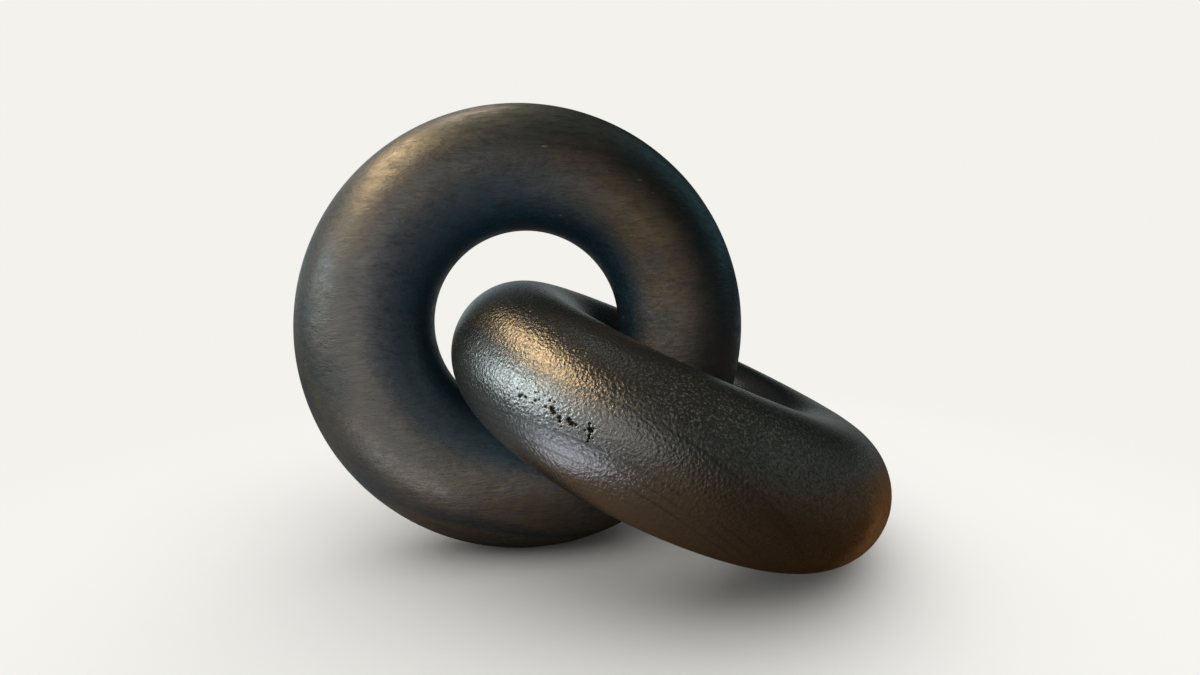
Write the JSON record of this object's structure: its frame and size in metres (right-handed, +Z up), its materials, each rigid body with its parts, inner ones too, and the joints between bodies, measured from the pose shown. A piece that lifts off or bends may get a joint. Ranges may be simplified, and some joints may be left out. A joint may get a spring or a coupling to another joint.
{
  "type": "knot sculpture",
  "caption": "Ornament of linked, round-section dark wooden rings: one stands on edge and the other passes through its hole and leans down to the table.",
  "frame": {"origin": "on the table, under the middle of the space that both rings take", "axes": "+Z up, +X along the upright ring's plane towards the end where the leaning ring rests, -Y towards the viewer"},
  "size_m": [0.2498, 0.1972, 0.1948],
  "materials": {
    "ebonised_wood": "near-black ebonised wood under a satin lacquer, with faint grain, small pits and orange peel",
    "dowel_beech": "bare beech, fluted"
  },
  "bodies": {
    "upright_ring": {"upright_ring": "ebonised_wood"},
    "leaning_ring": {"leaning_ring_lower_half": "ebonised_wood", "leaning_ring_upper_half": "ebonised_wood", "front_dowel_high": "dowel_beech", "front_dowel_low": "dowel_beech", "back_dowel_high": "dowel_beech", "back_dowel_low": "dowel_beech"}
  },
  "joints": [
    {"name": "ring_swing", "type": "hinge", "parent": "upright_ring", "child": "leaning_ring", "pos_m": [-0.02611, 0.01723, 0.09703], "axis": [0, -0.9868, 0.162], "continuous": true}
  ]
}
